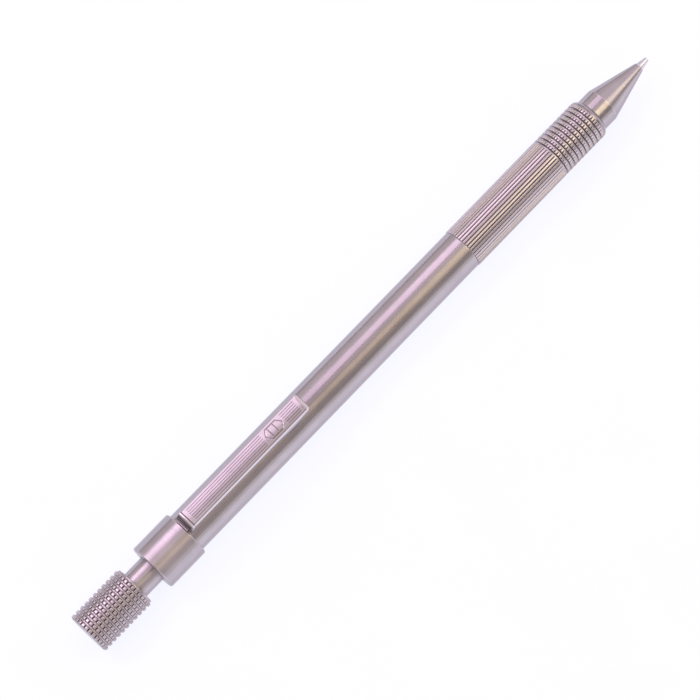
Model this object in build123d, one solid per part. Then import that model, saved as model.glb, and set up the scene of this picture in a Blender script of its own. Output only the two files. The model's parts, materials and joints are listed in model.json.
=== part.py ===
from build123d import *

import math
import os

# Slim all-metal mechanical pencil with a knurled push button, a hinged clip and a fluted grip.
#
# Frame: the pencil lies along X with its tip towards +X, and its clip points up (+Z).  Every shape is drawn with
# x measured from the tail end and the pencil's axis on y = z = 0, and is moved to the part's frame when it is
# written.  The origin is under the middle of the pencil, on the level of its lowest point.  Millimetres.

# ---------------------------------------------------------------------------------------------- driving dimensions
LENGTH = 145.3
OVERRUN = 1.0       # how far a cutter runs past the face that it cuts
SUNK = 0.1          # how far a raised shape starts below the surface that it stands on

# push button: a cap with rings of raised pins
BUTTON_LENGTH = 11.8
BUTTON_ROOT_R = 3.86
BUTTON_PIN_R = 4.25
BUTTON_RINGS = 11
BUTTON_RING_PITCH = 1.05
BUTTON_FIRST_RING = 0.5
BUTTON_PINS_AROUND = 30
PIN_BASE_LENGTH = 0.86
PIN_TOP_LENGTH = 0.42
PIN_SLOT_WIDTH = 0.30
BUTTON_REAR_CHAMFER = 0.07
BUTTON_FRONT_CHAMFER = 0.2
BUTTON_WALL_END = 1.6
BUTTON_BORE_R = 3.3

# stem, and what it carries
STEM_START = 3.5
STEM_END = 29.0
STEM_R = 2.75
STEM_CHAMFER = 0.15
STEM_HOLDER_BORE_R = 2.25
STEM_HOLDER_BORE_END = 17.0
STEM_LEAD_HOLE_R = 1.2
STEM_TUBE_BORE_START = 22.0
FLANGE_START = 25.65
FLANGE_LENGTH = 1.0
FLANGE_R = 3.3
LINER_START = 3.9
LINER_END = 11.2
ERASER_START = 2.1
ERASER_END = 13.6
ERASER_R = 2.05
ERASER_ROUND = 0.4
HOLDER_WALL = 0.3
HOLDER_END = 14.6

# collar and stem bush
COLLAR_START = 16.06
COLLAR_END = 24.62
COLLAR_R = 4.75
COLLAR_HOLE_R = 2.95
COLLAR_CHAMFER = 0.25
BUSH_END = 25.4
BUSH_HOLE_R = 2.80

# barrel
BARREL_START = 16.9
BARREL_END = 95.9
BARREL_R = 4.075
BARREL_BORE_R = 3.45
BARREL_CHAMFER = 0.08

# clip, its hinge and its spring
CLIP_START = 25.3
CLIP_END = 55.15
CLIP_WIDTH = 3.85
CLIP_TOP = 6.4
CLIP_UNDERSIDE = 5.1
CLIP_BEVEL = 0.3
CLIP_CROWN_R = 19.0
CLIP_REAR_GROOVE = 0.6
CLIP_CORNER_R = 0.5
CLIP_LOBE_START = 46.6
CLIP_LOBE_LOW = 51.2
CLIP_LOBE_END = 54.4
CLIP_LOBE_GAP = 0.05
CLIP_LOBE_EXIT = (1, 0.6)
CLIP_GROOVES = 6
CLIP_GROOVE_PITCH = 0.455
CLIP_GROOVE_WIDTH = 0.13
CLIP_GROOVE_DEPTH = 0.1
CLIP_GROOVE_RUNS = [(27.0, 45.4), (50.7, 53.6)]
ROOT_START = 25.5
ROOT_END = 28.0
ROOT_BOTTOM = 3.5
TONGUE_START = 17.6
TONGUE_WIDTH = 2.0
TONGUE_TOP = 4.15
TONGUE_BOTTOM = 3.5
HINGE_X = 22.6
HINGE_Z = 3.75
HINGE_PIN_R = 0.3
HINGE_PIN_LENGTH = 4.2
HINGE_EYE_R = 0.55
HINGE_PLAY = 0.03
TONGUE_SLOT_WIDTH = 2.2
TONGUE_SLOT_END = 28.4
KEYWAY_TOP = 4.42
BUSH_POCKET_START = 17.2
BUSH_POCKET_WIDTH = 2.5
BUSH_POCKET_FLOOR = 3.0
SPRING_LEAF_START = 17.5
SPRING_LEAF_END = 21.5
SPRING_LEAF_THICKNESS = 0.12
SPRING_LEAF_WIDTH = 1.8
SPRING_LEAF_PLAY = 0.01

# grip sleeve: lengthwise flutes, then rings of dots
GRIP_START = 95.9
GRIP_END = 130.15
GRIP_R = 4.19
GRIP_BAND_R = 4.15
GRIP_GROOVE_R = 3.95
GRIP_FLUTES = 42
FLUTE_WIDTH = 0.24
FLUTE_DEPTH = 0.14
FLUTES_END = 118.95
RING_COUNT = 10
RING_PITCH = 1.0
RING_GROOVE_START = 119.25
RING_GROOVE_WIDTH = 0.2
RING_DOT_LENGTH = 0.5
GRIP_SLOPE_R = 4.10
GRIP_ROUND_START = 129.85
GRIP_ROUND_R = 3.90
GRIP_FRONT_R = 3.75
GRIP_BORE_R = 2.9
GRIP_THREAD_R = 3.2
GRIP_SHOULDER = 123.8

# coupling between barrel and grip
INSERT_START = 88.4
INSERT_END = 104.0
INSERT_R = 3.42
INSERT_HOLE_R = 2.6
INSERT_RELIEF_R = 3.1
INSERT_RELIEF_LENGTH = 1.0

# nose, tip and lead retainer
NOSE_SPIGOT_START = 124.2
NOSE_CYLINDER_END = 133.2
NOSE_R = 3.525
NOSE_SPIGOT_R = 3.15
NOSE_CONE_END = 143.2
NOSE_CONE_END_R = 0.95
NOSE_SLEEVE_BORE_R = 2.42
NOSE_SLEEVE_BORE_END = 132.85
NOSE_RING_BORE_R = 1.85
NOSE_RING_BORE_END = 136.6
NOSE_CHUCK_BORE_R = 1.2
NOSE_CHUCK_BORE_END = 140.6
RETAINER_END = 141.8
RETAINER_R = 0.85
RETAINER_HOLE_R = 0.31
TIP_SHANK_R = 0.62
TIP_BASE_R = 0.825
TIP_END_R = 0.45
TIP_HOLE_R = 0.33

# lead feed mechanism
TUBE_R = 1.65
TUBE_BORE_R = 1.2
TUBE_END = 103.0
CONNECTOR_START = 98.0
CONNECTOR_END = 113.0
CONNECTOR_HOLE_R = 0.7
CHUCK_START = 108.0
CHUCK_SHANK_R = 1.0
CHUCK_NECK_START = 115.5
CHUCK_NECK_R = 0.85
CHUCK_CONE_START = 133.4
CHUCK_CONE_END = 135.4
CHUCK_HEAD_R = 1.12
CHUCK_END = 137.2
CHUCK_CHAMFER = 0.25
CHUCK_HOLE_R = 0.32
CHUCK_JAWS = 3
CHUCK_SLIT_START = 121.0
CHUCK_SLIT_WIDTH = 0.22
RING_START = 133.3
RING_LENGTH = 2.0
RING_OUTER_R = 1.75
RING_CONE_PLAY = 0.08
SLEEVE_START = 112.2
SLEEVE_FLANGE_START = 123.85
SLEEVE_R = 2.36
SLEEVE_BORE_R = 1.82
SLEEVE_WALL_START = 131.0
SLEEVE_END = 132.8
SLEEVE_NECK_HOLE_R = 0.94
SLEEVE_FLANGE_R = 3.1
SLEEVE_FLANGE_LENGTH = 0.3
COIL_WIRE_R = 0.13
COIL_R = 1.5
COIL_TURNS = 12
LEAD_R = 0.28
LEAD_START = 85.1
LEAD_END = 145.1
SPARE_LEAD_START = 30.0
SPARE_LEAD_LENGTH = 60.0
SPARE_LEAD_OFFSET = 0.85
SPARE_LEAD_ANGLES = (-125, -55)

# ------------------------------------------------------------------------------------------------- shared helpers
def turned(*outline):
    """A solid turned about the pencil's axis from an outline of (x, r) points."""
    return revolve(make_face(Polyline(*outline, close=True)), Axis.X)


def tube(start, end, outer, inner):
    """A straight tube along the pencil's axis."""
    return turned((start, inner), (end, inner), (end, outer), (start, outer))


def rod(start, end, radius, centre=(0, 0)):
    """A straight rod along X; centre is its (y, z)."""
    return Pos(start, *centre) * extrude(Plane.YZ * Circle(radius), end - start)


def block(x0, x1, width, z0, z1):
    """A box centred on y = 0 and given by its limits along X and Z."""
    return Pos((x0 + x1) / 2, 0, (z0 + z1) / 2) * Box(x1 - x0, width, z1 - z0)


def notches(start, end, outer, root, count, width):
    """Evenly spaced straight cutters along X, which leave one ridge centred at the top."""
    top = outer + OVERRUN
    profile = Pos(0, (root + top) / 2) * Rectangle(width, top - root)
    cutter = Pos(start, 0, 0) * extrude(Plane.YZ * profile, end - start)
    step = 360 / count
    return [Rot(step * (index + 0.5), 0, 0) * cutter for index in range(count)]


# --------------------------------------------------------------------------------------------------- tail and stem
def make_push_button():
    """Cap with rings of raised pins: each ring is a turned trapezium, and slots cut it into truncated pyramids."""
    core = turned(
        (0, 0),
        (0, BUTTON_ROOT_R - BUTTON_REAR_CHAMFER),
        (BUTTON_REAR_CHAMFER, BUTTON_ROOT_R),
        (BUTTON_LENGTH - BUTTON_FRONT_CHAMFER, BUTTON_ROOT_R),
        (BUTTON_LENGTH, BUTTON_ROOT_R - BUTTON_FRONT_CHAMFER),
        (BUTTON_LENGTH, BUTTON_BORE_R),
        (BUTTON_WALL_END, BUTTON_BORE_R),
        (BUTTON_WALL_END, 0),
    )
    sunk = BUTTON_ROOT_R - SUNK
    first = BUTTON_FIRST_RING
    ring = turned(
        (first - PIN_BASE_LENGTH / 2, sunk),
        (first - PIN_BASE_LENGTH / 2, BUTTON_ROOT_R),
        (first - PIN_TOP_LENGTH / 2, BUTTON_PIN_R),
        (first + PIN_TOP_LENGTH / 2, BUTTON_PIN_R),
        (first + PIN_BASE_LENGTH / 2, BUTTON_ROOT_R),
        (first + PIN_BASE_LENGTH / 2, sunk),
    )
    slots = notches(0, 2 * first, BUTTON_PIN_R, BUTTON_ROOT_R, BUTTON_PINS_AROUND, PIN_SLOT_WIDTH)
    pin_ring = ring - slots
    pin_rings = [Pos(index * BUTTON_RING_PITCH, 0, 0) * pin_ring for index in range(BUTTON_RINGS)]
    return core + pin_rings


def make_button_liner():
    """Plastic sleeve pressed into the button, running on the stem."""
    return tube(LINER_START, LINER_END, BUTTON_BORE_R, BUSH_HOLE_R)


def make_push_stem():
    """Stem tube: bored for the eraser's holder, then for leads, then for the lead tube, with a stop flange."""
    return turned(
        (STEM_START, STEM_HOLDER_BORE_R),
        (STEM_START, STEM_R - STEM_CHAMFER),
        (STEM_START + STEM_CHAMFER, STEM_R),
        (FLANGE_START, STEM_R),
        (FLANGE_START, FLANGE_R),
        (FLANGE_START + FLANGE_LENGTH, FLANGE_R),
        (FLANGE_START + FLANGE_LENGTH, STEM_R),
        (STEM_END - STEM_CHAMFER, STEM_R),
        (STEM_END, STEM_R - STEM_CHAMFER),
        (STEM_END, TUBE_R),
        (STEM_TUBE_BORE_START, TUBE_R),
        (STEM_TUBE_BORE_START, STEM_LEAD_HOLE_R),
        (STEM_HOLDER_BORE_END, STEM_LEAD_HOLE_R),
        (STEM_HOLDER_BORE_END, STEM_HOLDER_BORE_R),
    )


def make_eraser():
    """Eraser rod with a worn, rounded end."""
    plain = rod(ERASER_START, ERASER_END, ERASER_R)
    return fillet(plain.edges().sort_by(Axis.X)[0], ERASER_ROUND)


def make_eraser_holder():
    """Thin ferrule: a tube with a closed front end and a rim that rests on the stem."""
    inner_end = HOLDER_END - HOLDER_WALL
    return turned(
        (STEM_START - HOLDER_WALL, ERASER_R),
        (STEM_START - HOLDER_WALL, STEM_R - STEM_CHAMFER),
        (STEM_START, STEM_R - STEM_CHAMFER),
        (STEM_START, STEM_HOLDER_BORE_R),
        (HOLDER_END, STEM_HOLDER_BORE_R),
        (HOLDER_END, 0),
        (inner_end, 0),
        (inner_end, ERASER_R),
    )


# ------------------------------------------------------------------------------------------- collar, bush and barrel
def tongue_slot(top):
    """The space cut for the clip's tongue and root, up to the given height."""
    return block(BARREL_START, TONGUE_SLOT_END, TONGUE_SLOT_WIDTH, STEM_R, top)


def make_collar():
    """Thick ring over the barrel's tail end, with a keyway for the tongue and a cross hole for the hinge pin."""
    ring = turned(
        (COLLAR_START, COLLAR_HOLE_R),
        (COLLAR_START, COLLAR_R - COLLAR_CHAMFER),
        (COLLAR_START + COLLAR_CHAMFER, COLLAR_R),
        (COLLAR_END - COLLAR_CHAMFER, COLLAR_R),
        (COLLAR_END, COLLAR_R - COLLAR_CHAMFER),
        (COLLAR_END, BARREL_R),
        (BARREL_START, BARREL_R),
        (BARREL_START, COLLAR_HOLE_R),
    )
    return ring - tongue_slot(KEYWAY_TOP) - make_clip_pin()


def make_stem_bush():
    """Guide for the stem, with a pocket on top for the tongue and its spring."""
    bush = tube(BARREL_START, BUSH_END, BARREL_BORE_R, BUSH_HOLE_R)
    pocket = block(BUSH_POCKET_START, BUSH_END, BUSH_POCKET_WIDTH, BUSH_POCKET_FLOOR, BARREL_R)
    return bush - pocket - make_clip_pin()


def make_barrel():
    """Long smooth tube, slotted at the tail end for the clip."""
    shell = turned(
        (BARREL_START, BARREL_BORE_R),
        (BARREL_START, BARREL_R),
        (BARREL_END - BARREL_CHAMFER, BARREL_R),
        (BARREL_END, BARREL_R - BARREL_CHAMFER),
        (BARREL_END, BARREL_BORE_R),
    )
    return shell - tongue_slot(CLIP_UNDERSIDE) - make_clip_pin()


# -------------------------------------------------------------------------------------------------------------- clip
def make_clip_pin():
    """Hinge pin across the pencil, under the collar."""
    return Pos(HINGE_X, 0, HINGE_Z) * Rot(90, 0, 0) * Cylinder(HINGE_PIN_R, HINGE_PIN_LENGTH)


def clip_side():
    """The arm's outline from the side, in x and z, with the contact lobe near its free end."""
    lobe_z = BARREL_R + CLIP_LOBE_GAP
    crest = (CLIP_LOBE_LOW, lobe_z)
    edges = [
        Line((CLIP_START, CLIP_UNDERSIDE), (CLIP_LOBE_START, CLIP_UNDERSIDE)),
        Spline((CLIP_LOBE_START, CLIP_UNDERSIDE), crest, tangents=[(1, 0), (1, 0)]),
        Spline(crest, (CLIP_LOBE_END, CLIP_UNDERSIDE), tangents=[(1, 0), CLIP_LOBE_EXIT]),
        Line((CLIP_LOBE_END, CLIP_UNDERSIDE), (CLIP_END, CLIP_UNDERSIDE + CLIP_BEVEL)),
        Line((CLIP_END, CLIP_UNDERSIDE + CLIP_BEVEL), (CLIP_END, CLIP_TOP)),
        Line((CLIP_END, CLIP_TOP), (CLIP_START, CLIP_TOP)),
        Line((CLIP_START, CLIP_TOP), (CLIP_START, CLIP_UNDERSIDE)),
    ]
    return make_face(edges)


def make_clip():
    """Solid clip: grooved and bevelled arm, root block, and a tongue with a hinge eye."""
    width = Plane.XZ * clip_side()
    arm = Pos(0, CLIP_WIDTH / 2, 0) * extrude(width, CLIP_WIDTH)
    front_corners = arm.edges().filter_by(Axis.Z).group_by(Axis.X)[-1]
    arm = fillet(front_corners, CLIP_CORNER_R)
    arm = chamfer(arm.faces().sort_by(Axis.Z)[-1].edges(), CLIP_BEVEL)
    arm &= rod(CLIP_START, CLIP_END, CLIP_CROWN_R, centre=(0, CLIP_TOP - CLIP_CROWN_R))
    groove_floor = CLIP_TOP - CLIP_GROOVE_DEPTH
    for start, end in CLIP_GROOVE_RUNS:
        groove = block(start, end, CLIP_GROOVE_WIDTH, groove_floor, CLIP_TOP + OVERRUN)
        for index in range(CLIP_GROOVES):
            y = (index - (CLIP_GROOVES - 1) / 2) * CLIP_GROOVE_PITCH
            arm -= Pos(0, y, 0) * groove
    cross_start = CLIP_START + CLIP_REAR_GROOVE
    cross_end = cross_start + CLIP_GROOVE_WIDTH
    arm -= block(cross_start, cross_end, CLIP_WIDTH, groove_floor, CLIP_TOP + OVERRUN)
    root = block(ROOT_START, ROOT_END, TONGUE_WIDTH, ROOT_BOTTOM, CLIP_UNDERSIDE)
    tongue = block(TONGUE_START, ROOT_START, TONGUE_WIDTH, TONGUE_BOTTOM, TONGUE_TOP)
    hinge = Pos(HINGE_X, 0, HINGE_Z) * Rot(90, 0, 0)
    eye = hinge * Cylinder(HINGE_EYE_R, TONGUE_WIDTH)
    hole = hinge * Cylinder(HINGE_PIN_R + HINGE_PLAY, TONGUE_WIDTH + OVERRUN)
    return arm + root + tongue + eye - hole


def make_clip_spring():
    """Thin leaf, bowed up from the bush's pocket to the underside of the tongue."""
    middle = (SPRING_LEAF_START + SPRING_LEAF_END) / 2
    foot = BUSH_POCKET_FLOOR + SPRING_LEAF_PLAY
    crest = TONGUE_BOTTOM - SPRING_LEAF_PLAY
    lower = ThreePointArc(
        (SPRING_LEAF_START, foot), (middle, crest - SPRING_LEAF_THICKNESS), (SPRING_LEAF_END, foot)
    )
    rise = SPRING_LEAF_THICKNESS
    upper = ThreePointArc((SPRING_LEAF_END, foot + rise), (middle, crest), (SPRING_LEAF_START, foot + rise))
    ends = [Line(lower @ 1, upper @ 0), Line(upper @ 1, lower @ 0)]
    leaf = Plane.XZ * make_face([lower, upper] + ends)
    return Pos(0, SPRING_LEAF_WIDTH / 2, 0) * extrude(leaf, SPRING_LEAF_WIDTH)


# --------------------------------------------------------------------------------------------- grip sleeve and joint
def make_grip_sleeve():
    """Tube with lengthwise flutes, then rings of dots between grooves, and a rounded front end."""
    last_ring = RING_GROOVE_START + (RING_COUNT - 1) * RING_PITCH
    outline = [
        (GRIP_START, BARREL_BORE_R),
        (GRIP_START, GRIP_R - BARREL_CHAMFER),
        (GRIP_START + BARREL_CHAMFER, GRIP_R),
        (FLUTES_END, GRIP_R),
        (FLUTES_END, GRIP_BAND_R),
    ]
    for index in range(RING_COUNT):
        groove = RING_GROOVE_START + index * RING_PITCH
        dots = groove + RING_GROOVE_WIDTH
        outline += [
            (groove, GRIP_BAND_R),
            (groove, GRIP_GROOVE_R),
            (dots, GRIP_GROOVE_R),
            (dots, GRIP_R),
            (dots + RING_DOT_LENGTH, GRIP_R),
            (dots + RING_DOT_LENGTH, GRIP_BAND_R),
        ]
    outline += [
        (last_ring + RING_PITCH, GRIP_SLOPE_R),
        (GRIP_ROUND_START, GRIP_ROUND_R),
        (GRIP_END, GRIP_FRONT_R),
        (GRIP_END, GRIP_THREAD_R),
        (GRIP_SHOULDER, GRIP_THREAD_R),
        (GRIP_SHOULDER, GRIP_BORE_R),
        (INSERT_END, GRIP_BORE_R),
        (INSERT_END, BARREL_BORE_R),
    ]
    root = GRIP_R - FLUTE_DEPTH
    cutters = notches(GRIP_START - OVERRUN, FLUTES_END, GRIP_R, root, GRIP_FLUTES, FLUTE_WIDTH)
    for index in range(RING_COUNT):
        dots = RING_GROOVE_START + index * RING_PITCH + RING_GROOVE_WIDTH
        cutters += notches(dots - SUNK, dots + RING_DOT_LENGTH, GRIP_R, root, GRIP_FLUTES, FLUTE_WIDTH)
    return turned(*outline) - cutters


def make_joint_insert():
    """Coupling held in the grip sleeve; the barrel screws onto its rear half."""
    relief = BARREL_END - INSERT_RELIEF_LENGTH
    return turned(
        (INSERT_START, INSERT_HOLE_R),
        (INSERT_START, INSERT_R),
        (relief, INSERT_R),
        (relief, INSERT_RELIEF_R),
        (BARREL_END, INSERT_RELIEF_R),
        (BARREL_END, INSERT_R),
        (INSERT_END, INSERT_R),
        (INSERT_END, INSERT_HOLE_R),
    )


# ------------------------------------------------------------------------------------------------------ nose and tip
def make_nose_cone():
    """Nose: threaded spigot, plain cylinder and cone, bored in steps for the mechanism and the tip."""
    return turned(
        (NOSE_SPIGOT_START, NOSE_SLEEVE_BORE_R),
        (NOSE_SPIGOT_START, NOSE_SPIGOT_R),
        (GRIP_END, NOSE_SPIGOT_R),
        (GRIP_END, NOSE_R),
        (NOSE_CYLINDER_END, NOSE_R),
        (NOSE_CONE_END, NOSE_CONE_END_R),
        (NOSE_CONE_END, TIP_SHANK_R),
        (RETAINER_END, TIP_SHANK_R),
        (RETAINER_END, RETAINER_R),
        (NOSE_CHUCK_BORE_END, RETAINER_R),
        (NOSE_CHUCK_BORE_END, NOSE_CHUCK_BORE_R),
        (NOSE_RING_BORE_END, NOSE_CHUCK_BORE_R),
        (NOSE_RING_BORE_END, NOSE_RING_BORE_R),
        (NOSE_SLEEVE_BORE_END, NOSE_RING_BORE_R),
        (NOSE_SLEEVE_BORE_END, NOSE_SLEEVE_BORE_R),
    )


def make_lead_retainer():
    """Rubber ring that keeps the lead from sliding back."""
    return tube(NOSE_CHUCK_BORE_END, RETAINER_END, RETAINER_R, RETAINER_HOLE_R)


def make_tip_sleeve():
    """Polished lead guide with a shank pressed into the nose."""
    return turned(
        (RETAINER_END, TIP_HOLE_R),
        (RETAINER_END, TIP_SHANK_R),
        (NOSE_CONE_END, TIP_SHANK_R),
        (NOSE_CONE_END, TIP_BASE_R),
        (LENGTH, TIP_END_R),
        (LENGTH, TIP_HOLE_R),
    )


# ------------------------------------------------------------------------------------------------ lead feed mechanism
def make_lead_tube():
    """Reservoir tube between the stem and the connector."""
    return tube(STEM_TUBE_BORE_START, TUBE_END, TUBE_R, TUBE_BORE_R)


def make_tube_connector():
    """Joins the lead tube to the chuck, and pushes on the return spring."""
    return turned(
        (CONNECTOR_START, CONNECTOR_HOLE_R),
        (CONNECTOR_START, TUBE_BORE_R),
        (TUBE_END, TUBE_BORE_R),
        (TUBE_END, TUBE_R),
        (CONNECTOR_END, TUBE_R),
        (CONNECTOR_END, CHUCK_SHANK_R),
        (CHUCK_START, CHUCK_SHANK_R),
        (CHUCK_START, CONNECTOR_HOLE_R),
    )


def make_chuck():
    """Collet with a conical head, slit into jaws."""
    body = turned(
        (CHUCK_START, CHUCK_HOLE_R),
        (CHUCK_START, CHUCK_SHANK_R),
        (CHUCK_NECK_START, CHUCK_SHANK_R),
        (CHUCK_NECK_START, CHUCK_NECK_R),
        (CHUCK_CONE_START, CHUCK_NECK_R),
        (CHUCK_CONE_END, CHUCK_HEAD_R),
        (CHUCK_END - CHUCK_CHAMFER, CHUCK_HEAD_R),
        (CHUCK_END, CHUCK_HEAD_R - CHUCK_CHAMFER),
        (CHUCK_END, CHUCK_HOLE_R),
    )
    slit = block(CHUCK_SLIT_START, CHUCK_END + OVERRUN, CHUCK_SLIT_WIDTH, 0, CHUCK_HEAD_R + OVERRUN)
    slits = [Rot(index * 360 / CHUCK_JAWS, 0, 0) * slit for index in range(CHUCK_JAWS)]
    return body - slits


def make_clutch_ring():
    """Ring whose bore follows the chuck's cone and closes its jaws."""
    slope = (CHUCK_HEAD_R - CHUCK_NECK_R) / (CHUCK_CONE_END - CHUCK_CONE_START)
    small = CHUCK_NECK_R + RING_CONE_PLAY
    large = small + slope * RING_LENGTH
    end = RING_START + RING_LENGTH
    return turned((RING_START, small), (RING_START, RING_OUTER_R), (end, RING_OUTER_R), (end, large))


def make_mechanism_sleeve():
    """Guide tube around the return spring; its flange is clamped between the grip's shoulder and the nose."""
    flange_end = SLEEVE_FLANGE_START + SLEEVE_FLANGE_LENGTH
    return turned(
        (SLEEVE_START, SLEEVE_BORE_R),
        (SLEEVE_START, SLEEVE_R),
        (SLEEVE_FLANGE_START, SLEEVE_R),
        (SLEEVE_FLANGE_START, SLEEVE_FLANGE_R),
        (flange_end, SLEEVE_FLANGE_R),
        (flange_end, SLEEVE_R),
        (SLEEVE_END, SLEEVE_R),
        (SLEEVE_END, SLEEVE_NECK_HOLE_R),
        (SLEEVE_WALL_START, SLEEVE_NECK_HOLE_R),
        (SLEEVE_WALL_START, SLEEVE_BORE_R),
    )


def make_return_spring():
    """Open coil between the connector and the sleeve's front wall."""
    start = CONNECTOR_END + COIL_WIRE_R
    height = SLEEVE_WALL_START - COIL_WIRE_R - start
    path = Helix(pitch=height / COIL_TURNS, height=height, radius=COIL_R)
    wire_section = Plane(path @ 0, z_dir=path % 0) * Circle(COIL_WIRE_R)
    coil = sweep(wire_section, path=path, is_frenet=True)
    return Pos(start, 0, 0) * Rot(0, 90, 0) * coil


def make_lead():
    """The lead in use, from the reservoir through the chuck to just inside the tip."""
    return rod(LEAD_START, LEAD_END, LEAD_R)


def make_spare_leads():
    """Spare leads lying in the reservoir tube."""
    leads = []
    for angle in SPARE_LEAD_ANGLES:
        turn = math.radians(angle)
        centre = (SPARE_LEAD_OFFSET * math.cos(turn), SPARE_LEAD_OFFSET * math.sin(turn))
        leads.append(rod(SPARE_LEAD_START, SPARE_LEAD_START + SPARE_LEAD_LENGTH, LEAD_R, centre))
    return Compound(children=leads)


# ------------------------------------------------------------------------------------------------------------- output
NODES = {
    "push_button": make_push_button,
    "button_liner": make_button_liner,
    "push_stem": make_push_stem,
    "eraser": make_eraser,
    "eraser_holder": make_eraser_holder,
    "collar": make_collar,
    "stem_bush": make_stem_bush,
    "barrel": make_barrel,
    "clip": make_clip,
    "clip_pin": make_clip_pin,
    "clip_spring": make_clip_spring,
    "grip_sleeve": make_grip_sleeve,
    "joint_insert": make_joint_insert,
    "nose_cone": make_nose_cone,
    "lead_retainer": make_lead_retainer,
    "tip_sleeve": make_tip_sleeve,
    "lead_tube": make_lead_tube,
    "tube_connector": make_tube_connector,
    "chuck": make_chuck,
    "clutch_ring": make_clutch_ring,
    "mechanism_sleeve": make_mechanism_sleeve,
    "return_spring": make_return_spring,
    "lead": make_lead,
    "spare_leads": make_spare_leads,
}

os.makedirs("parts", exist_ok=True)
to_part_frame = Pos(-LENGTH / 2, 0, COLLAR_R)
for node, make in NODES.items():
    export_step(to_part_frame * make(), f"parts/{node}.step")
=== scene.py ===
import json
import math

import bmesh
import bpy
import numpy as np
from mathutils import Matrix, Vector


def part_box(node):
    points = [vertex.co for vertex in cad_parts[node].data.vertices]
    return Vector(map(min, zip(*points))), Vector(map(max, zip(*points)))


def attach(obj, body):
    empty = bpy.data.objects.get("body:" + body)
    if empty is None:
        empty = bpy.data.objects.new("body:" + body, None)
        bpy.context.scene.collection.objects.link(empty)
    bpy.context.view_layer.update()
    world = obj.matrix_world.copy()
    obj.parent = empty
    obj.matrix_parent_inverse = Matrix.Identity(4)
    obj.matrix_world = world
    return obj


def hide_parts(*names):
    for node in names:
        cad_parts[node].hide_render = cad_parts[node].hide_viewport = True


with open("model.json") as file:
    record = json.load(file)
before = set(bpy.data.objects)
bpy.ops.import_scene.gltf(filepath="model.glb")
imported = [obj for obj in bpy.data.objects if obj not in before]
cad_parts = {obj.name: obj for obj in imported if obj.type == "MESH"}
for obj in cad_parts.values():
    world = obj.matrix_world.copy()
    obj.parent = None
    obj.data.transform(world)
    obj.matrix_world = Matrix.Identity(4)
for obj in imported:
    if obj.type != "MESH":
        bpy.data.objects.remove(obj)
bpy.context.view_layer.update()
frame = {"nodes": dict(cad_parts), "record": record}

MM = 0.001
TAIL_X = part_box("push_button")[0].x
AXIS_Z = (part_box("collar")[0].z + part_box("collar")[1].z) / 2
FLOOR_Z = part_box("collar")[0].z

SEGMENTS = 168
FINE_SEGMENTS = 200
TIP_SEGMENTS = 96
SHARP_ANGLE = 35
FILLET_STEPS = 4
RINGS_OF_PINS = 11
PINS_AROUND = 30
FLUTES = 42
RING_GROOVES = 10

# the painted light level of each vertex: 0 paints shade into cuts and recesses, plain faces are 0.5, and 1
# marks worn edges, real polish with a painted highlight on it
PLAIN = 0.5
WORN_HIGHLIGHT = 1.0


# ------------------------------------------------------------------------------------- mesh helpers
def place(x, y, z):
    """A point in pencil millimetres as frame coordinates in metres."""
    return (TAIL_X + x * MM, y * MM, AXIS_Z + z * MM)


def span(node):
    """Start, end and outer radius of a turned CAD node, in pencil millimetres."""
    low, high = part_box(node)
    return (low.x - TAIL_X) / MM, (high.x - TAIL_X) / MM, (high.y - low.y) / 2 / MM


def new_object(name, vertices, faces, material, painted_light_and_wear):
    """A smooth-shaded mesh object from pencil coordinates, with the painted light level of each vertex."""
    mesh = bpy.data.meshes.new(name)
    mesh.from_pydata([place(*v) for v in vertices], [], faces)
    layer = mesh.attributes.new("painted_light_and_wear", "FLOAT", "POINT")
    layer.data.foreach_set("value", np.asarray(painted_light_and_wear, dtype=np.float32))
    mesh.validate()
    mesh.shade_smooth()
    mesh.materials.append(material)
    piece = bpy.data.objects.new(name, mesh)
    bpy.context.scene.collection.objects.link(piece)
    return piece


def rounded(corners):
    """Outline points (x, r, painted light level) from corners (x, r, fillet): a fillet becomes an arc, a worn
    edge with a painted highlight.
    """
    shoulder = 0.4
    points = []
    count = len(corners)
    for index, (x, r, fillet) in enumerate(corners):
        here = Vector((x, r))
        if fillet == 0:
            points.append((x, r, PLAIN))
            continue
        before = (Vector(corners[index - 1][:2]) - here).normalized()
        after = (Vector(corners[(index + 1) % count][:2]) - here).normalized()
        half = before.angle(after) / 2
        reach = fillet / math.tan(half)
        centre = here + (before + after).normalized() * (fillet / math.sin(half))
        start = here + before * reach - centre
        end = here + after * reach - centre
        sweep = math.atan2(start.cross(end), start.dot(end))
        points.append((*(here + before * (reach + fillet * shoulder)), PLAIN))
        for step in range(FILLET_STEPS + 1):
            spoke = Matrix.Rotation(sweep * step / FILLET_STEPS, 2) @ start
            points.append((*(centre + spoke), WORN_HIGHLIGHT))
        points.append((*(here + after * (reach + fillet * shoulder)), PLAIN))
    return points


def wrap(name, x, radii, material, angles, painted_light_and_wear):
    """A closed solid around the axis: row i of radii and of painted light levels lies at x[i]; the last row
    meets the first.
    """
    rows, around = radii.shape
    vertices = []
    values = []
    index_of = np.zeros((rows, around), dtype=int)
    for i in range(rows):
        if radii[i].max() < 1e-6:
            index_of[i, :] = len(vertices)
            vertices.append((x[i], 0.0, 0.0))
            values.append(painted_light_and_wear[i, 0])
            continue
        for j in range(around):
            index_of[i, j] = len(vertices)
            vertices.append((x[i], radii[i, j] * math.sin(angles[j]), radii[i, j] * math.cos(angles[j])))
            values.append(painted_light_and_wear[i, j])
    faces = []
    for i in range(rows):
        below = (i + 1) % rows
        for j in range(around):
            beside = (j + 1) % around
            corners = [index_of[i, j], index_of[below, j], index_of[below, beside], index_of[i, beside]]
            unique = list(dict.fromkeys(int(c) for c in corners))
            if len(unique) > 2:
                faces.append(unique)
    return new_object(name, vertices, faces, material, values)


def sharpen(piece, degrees):
    """Marks edges as sharp where the surface turns by more than this."""
    piece.data.set_sharp_from_angle(angle=math.radians(degrees))


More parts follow.
